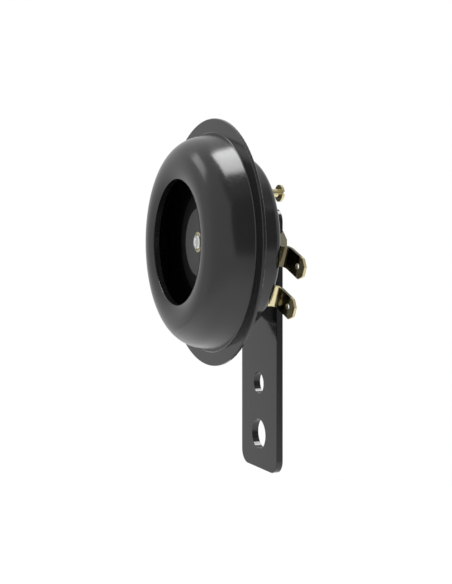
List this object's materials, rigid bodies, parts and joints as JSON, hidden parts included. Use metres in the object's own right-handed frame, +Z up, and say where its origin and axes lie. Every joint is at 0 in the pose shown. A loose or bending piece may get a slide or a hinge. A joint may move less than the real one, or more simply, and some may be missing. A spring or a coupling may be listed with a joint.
{
  "type": "car horn",
  "caption": "Electric disc horn with a rolled round mouth, a flanged housing and a flat drilled bracket.",
  "frame": {"origin": "centre of the large hole at the foot of the bracket, half way through the bar", "axes": "+Z up the bracket to the horn, -Y out of the mouth, +X to the right seen from the front"},
  "size_m": [0.072, 0.0338, 0.1034],
  "materials": {
    "black_paint": "gloss black stoved enamel",
    "cover_black": "gloss black stoved enamel",
    "bracket_black": "gloss black paint on flat steel bar",
    "disc_black": "satin black",
    "spring_steel": "spring steel with a dull black coat",
    "black_coat": "dull black phosphate coat",
    "steel": "bare mild steel",
    "stud_steel": "bright turned steel",
    "brass": "bright brass strip",
    "turned_brass": "turned brass",
    "yellow_zinc": "yellow zinc plate",
    "bronze_leaf": "phosphor bronze strip",
    "contact_metal": "silver alloy",
    "enamel_copper": "enamelled copper wire",
    "nylon": "natural nylon",
    "phenolic": "brown phenolic board",
    "base_black": "black moulded plastic",
    "gasket_fibre": "black fibre gasket"
  },
  "bodies": {
    "horn_body": {"housing": "black_paint", "front_cover": "cover_black", "bracket": "bracket_black", "diaphragm": "spring_steel", "clamp_ring": "black_coat", "flange_rivets": "black_coat", "pole_core": "steel", "fixed_contact_arm": "steel", "terminal_upper": "brass", "terminal_lower": "brass", "screw_bush": "turned_brass", "breaker_rivet": "turned_brass", "base_rivet": "turned_brass", "mount_nut": "yellow_zinc", "lock_washer": "yellow_zinc", "locking_plate": "yellow_zinc", "moving_contact_leaf": "bronze_leaf", "fixed_contact_tip": "contact_metal", "moving_contact_tip": "contact_metal", "coil_winding": "enamel_copper", "coil_bobbin": "nylon", "breaker_block": "phenolic", "contact_spacer": "phenolic", "leaf_insulator": "phenolic", "leaf_pad": "phenolic", "terminal_base": "base_black", "gasket": "gasket_fibre"},
    "armature_assembly": {"armature": "steel", "armature_stud": "stud_steel", "spacer_collar": "steel", "tone_disc": "disc_black", "stud_washer": "turned_brass"},
    "tuning_screw": {"adjusting_screw": "turned_brass"}
  },
  "joints": [
    {"name": "armature_stroke", "type": "slide", "parent": "horn_body", "child": "armature_assembly", "axis": [0, 1, 0], "range_m": [-0.0002, 0.0005], "stiffness_N_per_m": 500, "deforming": ["diaphragm"]},
    {"name": "tuning_screw_turn", "type": "hinge", "parent": "horn_body", "child": "tuning_screw", "pos_m": [0.014, 0, 0.0712], "axis": [0, 1, 0], "range_deg": [-180, 180]}
  ]
}
